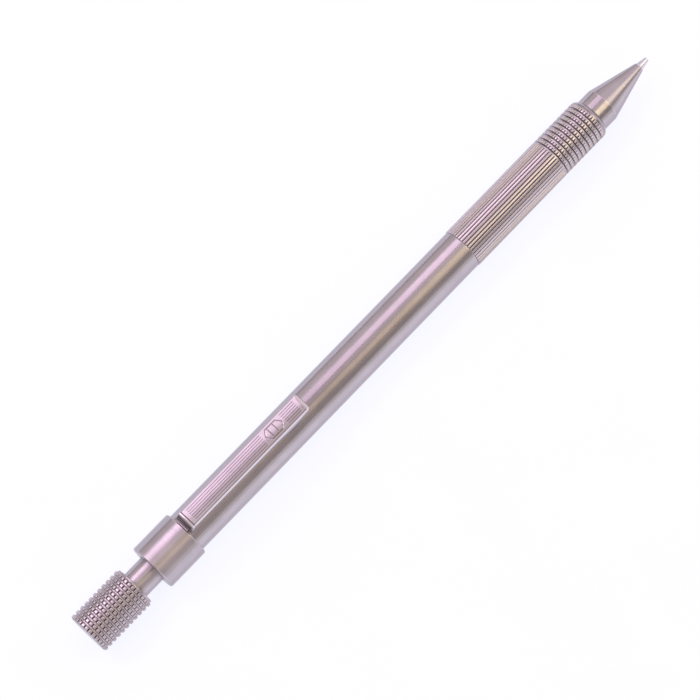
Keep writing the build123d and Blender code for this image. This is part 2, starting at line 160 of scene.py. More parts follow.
def clean(piece):
    """Merges coincident vertices and turns every face outwards."""
    same_place = 5e-7
    mesh = bmesh.new()
    mesh.from_mesh(piece.data)
    bmesh.ops.remove_doubles(mesh, verts=mesh.verts, dist=same_place)
    bmesh.ops.dissolve_degenerate(mesh, edges=mesh.edges, dist=same_place)
    bmesh.ops.recalc_face_normals(mesh, faces=mesh.faces)
    mesh.to_mesh(piece.data)
    mesh.free()


def soften(piece, width):
    """Rounds a piece's sharp edges with a bevel."""
    modifier = piece.modifiers.new("soft_edges", "BEVEL")
    modifier.width = width * MM
    modifier.segments = 3
    modifier.limit_method = "ANGLE"
    modifier.harden_normals = True


def lathe(name, corners, material, segments=SEGMENTS):
    """A turned solid from a closed outline of corners (x, r, fillet), listed from the tail, outside first."""
    x, radii, painted_light_and_wear = np.array(rounded(corners)).T
    angles = np.arange(segments) * 2 * math.pi / segments
    every = np.ones(segments)
    piece = wrap(name, x, np.outer(radii, every), material, angles, np.outer(painted_light_and_wear, every))
    sharpen(piece, SHARP_ANGLE)
    return piece


def cut_box(piece, low, high):
    """Cuts a box, given by two corners in pencil millimetres, out of a piece."""
    x_pair, y_pair, z_pair = zip(low, high)
    corners = [(x, y, z) for x in x_pair for y in y_pair for z in z_pair]
    faces = [(0, 1, 3, 2), (4, 6, 7, 5), (0, 4, 5, 1), (2, 3, 7, 6), (0, 2, 6, 4), (1, 5, 7, 3)]
    mesh = bpy.data.meshes.new("cutter")
    mesh.from_pydata([place(*c) for c in corners], [], faces)
    cutter = bpy.data.objects.new("cutter", mesh)
    bpy.context.scene.collection.objects.link(cutter)
    modifier = piece.modifiers.new("cut", "BOOLEAN")
    modifier.operation = "DIFFERENCE"
    modifier.solver = "EXACT"
    modifier.object = cutter
    graph = bpy.context.evaluated_depsgraph_get()
    result = bpy.data.meshes.new_from_object(piece.evaluated_get(graph))
    piece.modifiers.clear()
    old = piece.data
    piece.data = result
    result.name = piece.name
    bpy.data.meshes.remove(old)
    bpy.data.objects.remove(cutter)
    bpy.data.meshes.remove(mesh)
    sharpen(piece, SHARP_ANGLE)


# ---------------------------------------------------------------------------------------- materials
class Nodes:
    """Short names for building one material's node tree."""

    def __init__(self, name):
        self.material = bpy.data.materials.new(name)
        self.material.use_nodes = True
        self.tree = self.material.node_tree
        self.shader = self.tree.nodes["Principled BSDF"]

    def node(self, kind, **values):
        made = self.tree.nodes.new(kind)
        for key, value in values.items():
            setattr(made, key, value)
        return made

    def link(self, source, target):
        self.tree.links.new(source, target)

    def coordinates(self, scale):
        """Object coordinates, stretched by scale along each axis."""
        texture = self.node("ShaderNodeTexCoord")
        mapping = self.node("ShaderNodeMapping")
        mapping.inputs["Scale"].default_value = scale
        self.link(texture.outputs["Object"], mapping.inputs["Vector"])
        return mapping.outputs["Vector"]

    def noise(self, scale, detail):
        """Noise between 0 and 1 over coordinates stretched by scale."""
        made = self.node("ShaderNodeTexNoise")
        made.inputs["Scale"].default_value = 1.0
        made.inputs["Detail"].default_value = detail
        made.inputs["Roughness"].default_value = 0.55
        self.link(self.coordinates(scale), made.inputs["Vector"])
        return made.outputs["Fac"]

    def remap(self, source, low, high, from_low=0.0, from_high=1.0):
        """source's range from_low..from_high, moved to low..high."""
        made = self.node("ShaderNodeMapRange")
        made.inputs["From Min"].default_value = from_low
        made.inputs["From Max"].default_value = from_high
        made.inputs["To Min"].default_value = low
        made.inputs["To Max"].default_value = high
        self.link(source, made.inputs["Value"])
        return made.outputs["Result"]

    def mix(self, factor, first, second):
        """A colour between first and second; each is a colour or a socket."""
        made = self.node("ShaderNodeMix", data_type="RGBA")
        colours = [socket for socket in made.inputs if socket.type == "RGBA"]
        for socket, value in zip(colours, (first, second)):
            if isinstance(value, tuple):
                socket.default_value = (*value, 1.0)
            else:
                self.link(value, socket)
        self.link(factor, made.inputs["Factor"])
        return next(socket for socket in made.outputs if socket.type == "RGBA")

    def base_colour(self):
        """The socket that feeds the shader's base colour."""
        return self.shader.inputs["Base Color"].links[0].from_socket

    def bump(self, height, distance):
        made = self.node("ShaderNodeBump")
        made.inputs["Distance"].default_value = distance
        made.inputs["Strength"].default_value = 1.0
        self.link(height, made.inputs["Height"])
        self.link(made.outputs["Normal"], self.shader.inputs["Normal"])


def scaled(colour, factor):
    return tuple(channel * factor for channel in colour)


def metal(name, colour, roughness, grain, grain_depth=2.5e-6, turned=0.0):
    """Bare or plated metal: fine grain in roughness and bump, faint cloudy tarnish in the colour.

    grain stretches the marks along each axis, and turned says how far fine lathe marks smear reflections.
    """
    tarnish = 0.05
    spread = 0.04
    made = Nodes(name)
    shader = made.shader
    shader.inputs["Metallic"].default_value = 1.0
    if turned > 0:
        tangent = made.node("ShaderNodeTangent", direction_type="RADIAL", axis="X")
        made.link(tangent.outputs["Tangent"], shader.inputs["Tangent"])
        shader.inputs["Anisotropic"].default_value = turned
        shader.inputs["Anisotropic Rotation"].default_value = 0.25
    cloud = made.remap(made.noise((240.0, 420.0, 420.0), 4.0), 0.0, 1.0, 0.35, 0.65)
    clouded = made.mix(cloud, scaled(colour, 1.0 - tarnish), scaled(colour, 1.0 + tarnish))
    made.link(clouded, shader.inputs["Base Color"])
    streaks = made.noise(grain, 2.0)
    rough = made.remap(streaks, roughness - spread, roughness + spread, 0.3, 0.7)
    made.link(rough, shader.inputs["Roughness"])
    made.bump(streaks, grain_depth)
    return made


def paint_grazing_shade(made, colour, start):
    """Paints shade into the base colour where the surface turns away from the eye: a painted darker reflection
    towards the silhouettes.
    """
    facing = made.node("ShaderNodeLayerWeight").outputs["Facing"]
    turned_away = made.remap(facing, 0.0, 1.0, start, 0.62)
    made.link(made.mix(turned_away, made.base_colour(), colour), made.shader.inputs["Base Color"])


def metal_with_painted_light(name, roughness, cut_shade, worn_highlight, grain, grain_depth, turned=0.0):
    """Satin metal with painted light: cuts and recesses get a painted shade of the first brightness, worn
    edges a painted highlight of the second on their real polish.
    """
    made = metal(name, SATIN, roughness, grain, grain_depth, turned)
    painted_light_and_wear = made.node("ShaderNodeAttribute", attribute_name="painted_light_and_wear").outputs["Fac"]
    # painted shade in the cuts and recesses
    cut = made.mix(made.remap(painted_light_and_wear, 0.0, 1.0, 0.05, 0.45), scaled(SATIN, cut_shade), made.base_colour())
    # painted highlight on the worn edges
    edge = made.mix(made.remap(painted_light_and_wear, 0.0, 1.0, 0.6, 0.95), cut, scaled(SATIN, worn_highlight))
    made.link(edge, made.shader.inputs["Base Color"])
    # painted shade towards the silhouettes
    paint_grazing_shade(made, scaled(SATIN, 0.76), 0.38)
    return made.material


SATIN = (0.535, 0.475, 0.500)
ROUND_MARKS = (5200.0, 260.0, 260.0)
LONG_MARKS = (60.0, 5200.0, 5200.0)
CLIP_MARKS = (120.0, 2600.0, 2600.0)
BUTTON_MARKS = (1500.0, 1500.0, 1500.0)
GRIP_MARKS = (300.0, 3200.0, 3200.0)
TIP_MARKS = (9000.0, 400.0, 400.0)

# after the roughness: brightness of the painted shade in cuts and of the painted highlight on worn edges
barrel_metal = metal_with_painted_light("barrel_satin", 0.235, 0.6, 1.35, LONG_MARKS, 1.3e-6)
collar_metal = metal_with_painted_light("collar_satin", 0.34, 0.6, 1.45, ROUND_MARKS, 1.0e-6, turned=0.85)
stem_metal = metal_with_painted_light("stem_satin", 0.33, 0.6, 1.30, ROUND_MARKS, 0.8e-6, turned=0.85)
nose_metal = metal_with_painted_light("nose_satin", 0.22, 0.6, 1.45, ROUND_MARKS, 1.0e-6, turned=0.3)
clip_metal = metal_with_painted_light("clip_satin", 0.19, 0.30, 1.42, CLIP_MARKS, 0.15e-6)
button_metal = metal_with_painted_light("button_knurl", 0.26, 0.42, 1.10, BUTTON_MARKS, 0.2e-6)
grip_metal = metal_with_painted_light("grip_flutes", 0.22, 0.28, 1.32, GRIP_MARKS, 0.3e-6)
tip_nodes = metal("tip_polished", (0.84, 0.80, 0.86), 0.22, TIP_MARKS, 0.6e-6)
# painted shade towards the tip's silhouettes
paint_grazing_shade(tip_nodes, (0.56, 0.54, 0.64), 0.30)
tip_metal = tip_nodes.material


# -------------------------------------------------------------------------------------- push button
PIN_HEIGHT = 0.31
PIN_PITCH = 1.05
FIRST_RING = 0.5
FIRST_PIN = math.radians(-2.5)
# how far a pin stands up, by distance from its middle along the pencil (mm)
PIN_ALONG = [
    (0.0, 1.0), (0.13, 1.0), (0.20, 0.98), (0.25, 0.90),
    (0.30, 0.70), (0.35, 0.42), (0.40, 0.16), (0.45, 0.03),
]
# and by distance from its middle around the pencil (shares of the pitch)
PIN_AROUND = [
    (0.0, 1.0), (0.20, 1.0), (0.28, 0.98), (0.325, 0.90), (0.36, 0.68),
    (0.40, 0.38), (0.44, 0.15), (0.47, 0.05), (0.5, 0.02),
]
# points of the button's rounded rims: how far in from the end face, and how far down from the pins' roots
TAIL_RIM = [(0.0, 0.2), (0.0, 0.09), (0.015, 0.035), (0.05, 0.005)]
FRONT_RIM = [(0.16, 0.0), (0.1, 0.0), (0.07, 0.01), (0.02, 0.05), (0.0, 0.1), (0.0, 0.14)]


def repeat_around(profile, count, first):
    """Angles and heights all round the axis, for count copies of a profile mirrored at its middle."""
    pitch = 2 * math.pi / count
    angles = []
    heights = []
    for index in range(count):
        for share, height in reversed(profile[1:-1]):
            angles.append(first + (index - share) * pitch)
            heights.append(height)
        for share, height in profile:
            angles.append(first + (index + share) * pitch)
            heights.append(height)
    return np.array(angles), np.array(heights)


def make_button():
    """Cap with rings of truncated pyramids, worn a little round at their edges."""
    start, end, pin_r = span("push_button")
    root_r = pin_r - PIN_HEIGHT
    bore_r = 3.3
    bore_chamfer = 0.02
    wall_end = 1.6
    angles, share_around = repeat_around(PIN_AROUND, PINS_AROUND, FIRST_PIN)
    # rows of (x, radius at the pins' roots, pin height)
    rows = [(start, 0.0, 0.0)] + [(start + inward, root_r - drop, 0.0) for inward, drop in TAIL_RIM]
    for ring in range(RINGS_OF_PINS):
        middle = FIRST_RING + ring * PIN_PITCH
        rows += [(middle - distance, root_r, height) for distance, height in reversed(PIN_ALONG[1:])]
        rows += [(middle + distance, root_r, height) for distance, height in PIN_ALONG]
    rows += [(end - inward, root_r - drop, 0.0) for inward, drop in FRONT_RIM]
    rows += [(end, bore_r + bore_chamfer, 0.0), (end - bore_chamfer, bore_r, 0.0)]
    rows += [(wall_end, bore_r, 0.0), (wall_end, 0.0, 0.0)]
    x, base, share_along = np.array(rows).T
    height = np.outer(share_along, share_around)
    # painted shade in the gaps between the pins and a painted highlight on their tops
    between_pins = np.outer(share_along, 1.0 - share_around)
    painted_light_and_wear = np.clip(0.55 + 0.35 * height - between_pins, 0.0, 1.0)
    radii = base[:, None] + (pin_r - root_r) * height
    piece = wrap("knurled_button", x, radii, button_metal, angles, painted_light_and_wear)
    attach(piece, "button")
    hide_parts("push_button")


# -------------------------------------------------------------------------- stem, collar and barrel
# the slot for the clip's root, through the collar and the barrel
SLOT_HALF = 1.1
SLOT_LOW = 2.8
BARREL_BORE = 3.45


def make_stem():
    """Tube that carries the button and the eraser, with a flange that stops it in the barrel."""
    start, end, flange_r = span("push_stem")
    stem_r = 2.75
    flange_start, flange_end = 25.65, 26.65
    eraser_bore, eraser_floor = 2.25, 17.0
    lead_hole, lead_hole_end = 1.2, 22.0
    tube_seat = 1.65
    corners = [
        (start, eraser_bore, 0.0),
        (start, stem_r, 0.12),
        (flange_start, stem_r, 0.0),
        (flange_start, flange_r, 0.1),
        (flange_end, flange_r, 0.1),
        (flange_end, stem_r, 0.0),
        (end, stem_r, 0.12),
        (end, tube_seat, 0.0),
        (lead_hole_end, tube_seat, 0.0),
        (lead_hole_end, lead_hole, 0.0),
        (eraser_floor, lead_hole, 0.0),
        (eraser_floor, eraser_bore, 0.0),
    ]
    piece = lathe("stem_tube", corners, stem_metal)
    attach(piece, "push_set")
    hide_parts("push_stem")


def make_collar():
    """Ring over the barrel's tail end, slotted inside for the clip's tongue."""
    start, end, radius = span("collar")
    chamfer = 0.2
    stem_hole = 2.95
    barrel_seat, seat_start = 4.075, 16.9
    slot_start, slot_high = 17.0, 4.42
    corners = [
        (start, stem_hole, 0.06),
        (start, radius - chamfer, 0.05),
        (start + chamfer, radius, 0.06),
        (end - chamfer, radius, 0.06),
        (end, radius - chamfer, 0.05),
        (end, barrel_seat, 0.0),
        (seat_start, barrel_seat, 0.0),
        (seat_start, stem_hole, 0.0),
    ]
    piece = lathe("collar_ring", corners, collar_metal, FINE_SEGMENTS)
    cut_box(piece, (slot_start, -SLOT_HALF, SLOT_LOW), (end + 1.0, SLOT_HALF, slot_high))
    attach(piece, "housing")
    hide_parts("collar")


def make_barrel():
    """Long plain tube, slotted at its tail end for the clip's root."""
    start, end, radius = span("barrel")
    chamfer_length, chamfer_depth = 0.16, 0.05
    slot_end, slot_high = 28.4, 5.1
    corners = [
        (start, BARREL_BORE, 0.0),
        (start, radius, 0.04),
        (end - chamfer_length, radius, 0.05),
        (end, radius - chamfer_depth, 0.0),
        (end, BARREL_BORE, 0.0),
    ]
    piece = lathe("barrel_tube", corners, barrel_metal, FINE_SEGMENTS)
    cut_box(piece, (start - 1.0, -SLOT_HALF, SLOT_LOW), (slot_end, SLOT_HALF, slot_high))
    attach(piece, "housing")
    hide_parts("barrel")


make_button()
make_stem()
make_collar()
make_barrel()


# --------------------------------------------------------------------------------------------- clip
ARM_START = 24.85
ARM_HALF = 1.925
ARM_TOP = 6.4
ARM_UNDER = 5.1
ARM_CROWN = 13.5
ARM_BEVEL = 0.3
ARM_BEVEL_DROP = 0.5
ARM_CORNER = 0.7
FRONT_BEVEL = 0.75
FRONT_SLOPE = 0.45
BEND_LENGTH = 1.1
BEND_DROP = 1.45
LEG_END = 25.95
LEG_UNDER = 4.3
LEG_RISE = 0.3
CREASE = 26.13
CREASE_HALF = 0.11
CREASE_DEPTH = 0.11
LINE_DEPTH = 0.045
LINE_PITCH = 0.455
LINE_HALF = 0.035
LINE_SLOPE = 0.03
LINE_RUN_OUT = 0.12
# offsets across a line from its centre that follow its floor, its slopes and the land beside it
LINE_ACROSS = (LINE_HALF, LINE_HALF + LINE_SLOPE, 0.095, 0.15)
LINE_CENTRES = [(index - 2.5) * LINE_PITCH for index in range(6)]
LINE_RUNS = [(26.95, 45.4), (50.32, 53.85)]
ORNAMENT_HALF = 0.055
ORNAMENT_SLOPE = 0.05
ORNAMENT_EDGE = 1.08
ORNAMENT_SPAN = (45.6, 50.2)
# upper half of a plain long hexagon with two bars across it, as lines from point to point (x, y)
ORNAMENT = [
    ((45.85, 0.0), (46.6, ORNAMENT_EDGE)),
    ((46.6, ORNAMENT_EDGE), (49.15, ORNAMENT_EDGE)),
    ((49.15, ORNAMENT_EDGE), (49.95, 0.0)),
    ((47.05, 0.0), (47.05, ORNAMENT_EDGE)),
    ((48.35, 0.0), (48.35, ORNAMENT_EDGE)),
]
# where the lobe starts, where it is lowest and where it ends
LOBE = (46.2, 50.9, 54.4)
LOBE_LOW = 4.125
# offsets across the arm's top that follow its edge bevel
EDGE_ACROSS = [1.35, 1.45, 1.53, 1.57, 1.60, 1.63, 1.66, 1.69, 1.74, 1.80, 1.87, 1.91, ARM_HALF]
# points down the arm's side and along its underside: (inset from the side, rise above the underside)
UNDERSIDE = [(0.0, 0.12), (0.0, 0.1), (0.03, 0.03), (0.1, 0.0), (0.14, 0.0), (0.7, 0.0), (1.3, 0.0)]
AROUND_UNDERSIDE = [(1, *point) for point in UNDERSIDE] + [(-1, ARM_HALF, 0.0)]
AROUND_UNDERSIDE += [(-1, *point) for point in reversed(UNDERSIDE)]


def clamp(value):
    return min(1.0, max(0.0, value))


def segment_distance(point, start, end):
    """Distance in the plane from a point to the line between two others."""
    way = end - start
    share = clamp((point - start).dot(way) / way.length_squared)
    return (start + way * share - point).length


def engraving(x, y):
    """How deep the engraved lines and ornament are at a point of the arm's top, from 0 to 1."""
    off_line = min(abs(y - centre) for centre in LINE_CENTRES)
    across_line = clamp((LINE_HALF + LINE_SLOPE - off_line) / LINE_SLOPE)
    depth = 0.0
    for run_start, run_end in LINE_RUNS:
        depth = max(depth, across_line * clamp(min(x - run_start, run_end - x) / LINE_RUN_OUT))
    if LINE_RUNS[0][1] < x < LINE_RUNS[1][0]:
        point = Vector((x, abs(y)))
        away = min(segment_distance(point, Vector(a), Vector(b)) for a, b in ORNAMENT)
        depth = max(depth, clamp((ORNAMENT_HALF + ORNAMENT_SLOPE - away) / ORNAMENT_SLOPE))
    return depth


def arm_half_width(end, x):
    """Half the arm's width at x, with the rounded corners of the free end."""
    past = x - (end - ARM_CORNER)
    if past <= 0:
        return ARM_HALF
    return ARM_HALF - ARM_CORNER + math.sqrt(max(0.0, ARM_CORNER**2 - past**2))


def edge_distance(end, x, y):
    """Distance from a point of the arm's top to the arm's long sides or free end."""
    side = ARM_HALF - abs(y)
    front = end - x
    if side < ARM_CORNER and front < ARM_CORNER:
        return max(0.0, ARM_CORNER - math.hypot(ARM_CORNER - side, ARM_CORNER - front))
    return max(0.0, min(side, front))


def soft_min(a, b, softness):
    """The smaller of two numbers, with the change from one to the other rounded off."""
    closeness = max(softness - abs(a - b), 0.0) / softness
    return min(a, b) - closeness * closeness * softness / 4


def smooth_step(t):
    """0 up to t = 0 and 1 from t = 1 on, with a smooth rise between."""
    t = clamp(t)
    return t * t * (3 - 2 * t)


def arm_under(end, x, y):
    """Height of the arm's underside: leg at the bend, straight run, then the lobe, hollowed to the barrel."""
    if x < LEG_END:
        return LEG_UNDER + (ARM_UNDER - LEG_UNDER) * smooth_step((x - LEG_END + LEG_RISE) / LEG_RISE)
    if x <= LOBE[0]:
        return ARM_UNDER
    if x <= LOBE[1]:
        share = smooth_step((x - LOBE[0]) / (LOBE[1] - LOBE[0]))
    else:
        share = 1.0 - smooth_step((x - LOBE[1]) / (LOBE[2] - LOBE[1]))
    hollow = LOBE_LOW - math.sqrt(LOBE_LOW**2 - y**2)
    rise = max(0.0, x - LOBE[2]) / (end - LOBE[2])
    return ARM_UNDER - share * (ARM_UNDER - LOBE_LOW + hollow) + rise * ARM_BEVEL


def arm_top(end, x, y):
    """Height of the arm's top: crowned, bevelled along its edges and rounded down at the bend."""
    crown = ARM_TOP - y * y / (2 * ARM_CROWN)
    slope = ARM_BEVEL_DROP / ARM_BEVEL
    softness = 0.05
    top = soft_min(crown, ARM_TOP - ARM_BEVEL_DROP + slope * edge_distance(end, x, y), softness)
    top = soft_min(top, ARM_TOP - FRONT_SLOPE * (FRONT_BEVEL - (end - x)), softness)
    short = 1.0 - (x - ARM_START) / BEND_LENGTH
    if short > 0:
        top -= BEND_DROP * (1.0 - math.sqrt(max(0.0, 1.0 - short**2)))
    crease = max(0.0, 1.0 - abs(x - CREASE) / CREASE_HALF)
    inside_edge = smooth_step((edge_distance(end, x, y) - 0.15) / 0.15)
    return top - CREASE_DEPTH * smooth_step(crease) * inside_edge


def spread_out(values, gap):
    """The values in order, without those closer than gap to the one before."""
    kept = []
    for value in sorted(values):
        if not kept or value - kept[-1] > gap:
            kept.append(value)
    return kept


def arm_across():
    """Offsets of the points across the arm's top, close together at its edges, lines and ornament."""
    across = EDGE_ACROSS + [-y for y in EDGE_ACROSS]
    for centre in LINE_CENTRES:
        for off in LINE_ACROSS:
            across += [centre - off, centre + off]
    for off in (ORNAMENT_HALF, ORNAMENT_HALF + ORNAMENT_SLOPE):
        for edge in (ORNAMENT_EDGE - off, ORNAMENT_EDGE + off):
            across += [-edge, edge]
    return spread_out(across, 0.014)


def arm_stations(end):
    """Places of the arm's sections along the pencil, close together where its shape changes."""
    stations = [ARM_START + BEND_LENGTH * (1 - math.cos(k * math.pi / 28)) for k in range(15)]
    stations += [LEG_END - LEG_RISE + 0.05 * k for k in range(7)]
    stations += [CREASE - 0.13 + 0.02 * k for k in range(14)]
    stations += [CREASE + 0.3, CREASE + 0.5]
    for run_start, run_end in LINE_RUNS:
        for off in (-0.04, 0.0, LINE_RUN_OUT / 2, LINE_RUN_OUT, 0.2):
            stations += [run_start + off, run_end - off]
    stations += [30.0 + 2.5 * k for k in range(6)]
    stations += list(np.arange(*ORNAMENT_SPAN, 0.05))
    stations += [LOBE[0] + (LOBE[2] - LOBE[0]) * k / 24 for k in range(25)]
    stations += [end - ARM_CORNER - 0.1]
    stations += [end - ARM_CORNER * (1 - math.sin(k * math.pi / 20)) for k in range(11)]
    return spread_out(stations, 0.008)


def arm_painted_light(end, x, inset):
    """The painted light level of the arm's top: painted highlight on the worn bevels, a darker line beside
    them, painted shade in the bend and the crease.
    """
    bevel, shade_line_end = 0.22, 0.36
    bend_end, bend_dark, bend_fade = 0.8, 0.4, 0.9
    crease_line = 0.07
    painted_light_and_wear = 0.22 if bevel < inset < shade_line_end and x > CREASE else 0.55
    if inset < bevel or end - x < FRONT_BEVEL:
        painted_light_and_wear = WORN_HIGHLIGHT
    if x < ARM_START + bend_end:
        painted_light_and_wear = min(painted_light_and_wear, max(0.0, (x - ARM_START - bend_dark) / bend_fade))
    if abs(x - CREASE) < crease_line:
        painted_light_and_wear = min(painted_light_and_wear, 0.1)
    return painted_light_and_wear


def make_clip_arm():
    """The arm, lofted along the pencil: crowned top with bevelled edges and fine lines, lobe underneath."""
    end = span("clip")[1]
    across = arm_across()
    stations = arm_stations(end)
    vertices = []
    painted_light_and_wear = []
    for x in stations:
        half = arm_half_width(end, x)
        shrink = half / ARM_HALF
        for y in across:
            depth = engraving(x, y)
            vertices.append((x, y * shrink, arm_top(end, x, y * shrink) - LINE_DEPTH * depth))
            # painted shade in the engraved lines
            painted_light_and_wear.append(arm_painted_light(end, x, edge_distance(end, x, y * shrink)) * (1.0 - 0.75 * depth))
        for side, inset, rise in AROUND_UNDERSIDE:
            y = side * max(0.0, half - inset)
            vertices.append((x, y, arm_under(end, x, y) + rise))
            # painted highlight on the arm's sides and underside
            painted_light_and_wear.append(WORN_HIGHLIGHT)
    count = len(across) + len(AROUND_UNDERSIDE)
    faces = []
    for i in range(len(stations) - 1):
        for j in range(count):
            k = (j + 1) % count
            faces.append((i * count + j, i * count + k, (i + 1) * count + k, (i + 1) * count + j))
    faces.append(tuple(reversed(range(count))))
    faces.append(tuple((len(stations) - 1) * count + j for j in range(count)))
    piece = new_object("clip_arm", vertices, faces, clip_metal, painted_light_and_wear)
    clean(piece)
    sharpen(piece, 40)
    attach(piece, "clip")
    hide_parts("clip")


def make_clip_root():
    """The root below the arm: a tongue in the barrel's slot, with a round eye for the hinge pin."""
    eye_x, eye_z, eye_r = 22.6, 3.75, 0.55
    tongue_start, tongue_low, tongue_high = 17.6, 3.5, 4.15
    foot_start, foot_end, foot_high = 25.5, 28.0, 5.15
    half = 1.0
    below = math.asin((eye_z - tongue_low) / eye_r)
    above = math.asin((tongue_high - eye_z) / eye_r)

    def eye_arc(first, last, count):
        """Points of the round eye from one angle to another."""
        angles = np.linspace(first, last, count)
        return [(eye_x + eye_r * math.cos(a), eye_z + eye_r * math.sin(a)) for a in angles]

    outline = [(foot_end, foot_high), (foot_end, tongue_low)] + eye_arc(-below, below - math.pi, 12)
    outline += [(tongue_start, tongue_low), (tongue_start, tongue_high)] + eye_arc(math.pi - above, above, 8)
    outline += [(foot_start, tongue_high), (foot_start, foot_high)]
    side = len(outline)
    vertices = [(x, y, z) for y in (-half, half) for x, z in outline]
    faces = [tuple(range(side)), tuple(reversed(range(side, 2 * side)))]
    faces += [(i, i + side, (i + 1) % side + side, (i + 1) % side) for i in range(side)]
    # painted shade on the root under the arm
    painted_light_and_wear = [0.3] * len(vertices)
    root = new_object("clip_root", vertices, faces, clip_metal, painted_light_and_wear)
    clean(root)
    soften(root, 0.06)
    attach(root, "clip")


# -------------------------------------------------------------------------------------- grip sleeve
FIRST_RIDGE = math.radians(2.69)
FLUTES_END = 118.95
FIRST_GROOVE = 119.25
GROOVE_PITCH = 1.0
GROOVE_WIDTH = 0.2
DOT_LENGTH = 0.5
LAST_DOT_LENGTH = 0.68
BAND_R = 4.15
GROOVE_R = 3.95
RIDGE_HEIGHT = 0.19
# how far a ridge stands up, by distance from its middle around the grip (shares of the pitch)
RIDGE_AROUND = [
    (0.0, 1.0), (0.14, 0.995), (0.22, 0.98), (0.27, 0.93), (0.305, 0.80),
    (0.34, 0.60), (0.38, 0.38), (0.42, 0.19), (0.46, 0.06), (0.5, 0.03),
]
# the rounded front shoulder: distance past the last band, and radius
SHOULDER = [
    (0.0, 4.15), (0.06, 4.145), (0.2, 4.13), (0.3, 4.105), (0.4, 4.06),
    (0.5, 4.0), (0.6, 3.93), (0.7, 3.85), (0.8, 3.76), (0.85, 3.69),
]


def fluted_rows(start, floor_r):
    """Rows (x, radius between the ridges, ridge height) of the lengthwise flutes, with softened ends."""
    high = RIDGE_HEIGHT
    rows = [(start, BARREL_BORE, 0.0), (start, floor_r - 0.02, 0.0), (start + 0.01, floor_r - 0.01, 0.05)]
    rows += [(start + 0.05, floor_r, high - 0.04), (start + 0.10, floor_r, high - 0.01)]
    rows += [(x, floor_r, high) for x in (start + 0.15, start + 0.25)]
    rows += [(x, floor_r, high) for x in np.linspace(start + 2.0, FLUTES_END - 2.0, 9)]
    rows += [(FLUTES_END - 0.12, floor_r, high), (FLUTES_END - 0.06, floor_r, high - 0.005)]
    rows += [(FLUTES_END - 0.01, floor_r + 0.02, high - 0.03)]
    return rows + [(FLUTES_END + 0.03, BAND_R, 0.0), (FLUTES_END + 0.08, BAND_R, 0.0)]


def ring_rows(groove, dot_length, floor_r):
    """Rows of one ring: a groove from x = groove on, then a band of dots of this length."""
    high = RIDGE_HEIGHT
    dots = groove + GROOVE_WIDTH
    dots_end = dots + dot_length
    rows = [(groove - 0.1, BAND_R, 0.0), (groove - 0.05, BAND_R - 0.005, 0.0)]
    rows += [(groove - 0.01, BAND_R - 0.04, 0.0), (groove + 0.01, GROOVE_R + 0.03, 0.0)]
    rows += [(groove + 0.03, GROOVE_R, 0.0), (dots - 0.03, GROOVE_R, 0.0)]
    rows += [(dots - 0.01, GROOVE_R + 0.02, 0.03), (dots + 0.01, floor_r - 0.01, high - 0.05)]
    rows += [(dots + 0.06, floor_r, high - 0.01), (dots + 0.12, floor_r, high)]
    rows += [(dots_end - 0.12, floor_r, high), (dots_end - 0.06, floor_r, high - 0.01)]
    return rows + [(dots_end - 0.01, floor_r + 0.01, high - 0.05), (dots_end + 0.03, BAND_R, 0.0)]


def make_grip():
    """Sleeve with worn lengthwise flutes, then rings of dots between grooves, and a rounded front end."""
    start, end, ridge_r = span("grip_sleeve")
    floor_r = ridge_r - RIDGE_HEIGHT
    nose_bore, nose_bore_start = 3.2, 104.0
    angles, share = repeat_around(RIDGE_AROUND, FLUTES, FIRST_RIDGE)
    rows = fluted_rows(start, floor_r)
    for ring in range(RING_GROOVES):
        dot_length = DOT_LENGTH if ring < RING_GROOVES - 1 else LAST_DOT_LENGTH
        rows += ring_rows(FIRST_GROOVE + ring * GROOVE_PITCH, dot_length, floor_r)
    last = FIRST_GROOVE + RING_GROOVES * GROOVE_PITCH
    rows += [(last + past, radius, 0.0) for past, radius in SHOULDER]
    rows += [(end, 3.62, 0.0), (end, 3.5, 0.0), (end, nose_bore, 0.0)]
    rows += [(nose_bore_start, nose_bore, 0.0), (nose_bore_start, BARREL_BORE, 0.0)]
    x, base, height = np.array(rows).T
    fluted = np.clip(height / RIDGE_HEIGHT, 0.0, 1.0)
    # painted shade in the flutes' valleys and the ring grooves, painted highlight on the ridges' crests;
    # darker front shoulder and a dark front end face
    painted_light_and_wear = 0.65 - 0.65 * fluted[:, None] + np.outer(fluted, share)
    painted_light_and_wear[(base < GROOVE_R + 0.04) & (x < last)] = 0.0
    painted_light_and_wear[x > last - 0.01] = 0.3
    painted_light_and_wear[x > end - 0.12] = 0.0
    piece = wrap("fluted_grip", x, base[:, None] + np.outer(height, share), grip_metal, angles, painted_light_and_wear)
    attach(piece, "housing")
    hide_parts("grip_sleeve")


# ------------------------------------------------------------------------------------- nose and tip
NOSE_BORE = 0.62


def make_nose():
    """Short cylinder and long cone, with a stepped bore and a spigot that goes into the grip."""
    _, end, _ = span("nose_cone")
    radius = 3.525
    face, cone_start = 130.15, 133.2
    chamfer_length, chamfer_depth = 0.12, 0.08
    thread_start, thread_r = 124.2, 3.1
    # the bore from the front backwards: where each stretch ends, and its radius
    bore = [(141.8, NOSE_BORE), (140.6, 0.85), (136.6, 1.2), (132.85, 1.85), (thread_start, 2.42)]
    corners = [
        (face, thread_r, 0.0),
        (face, radius - chamfer_depth, 0.0),
        (face + chamfer_length, radius, 0.03),
        (cone_start, radius, 0.12),
        (end, 0.95, 0.22),
    ]
    x = end
    for stretch_end, bore_r in bore:
        corners += [(x, bore_r, 0.0), (stretch_end, bore_r, 0.0)]
        x = stretch_end
    corners.append((thread_start, thread_r, 0.0))
    piece = lathe("nose_shell", corners, nose_metal, FINE_SEGMENTS)
    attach(piece, "housing")
    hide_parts("nose_cone")


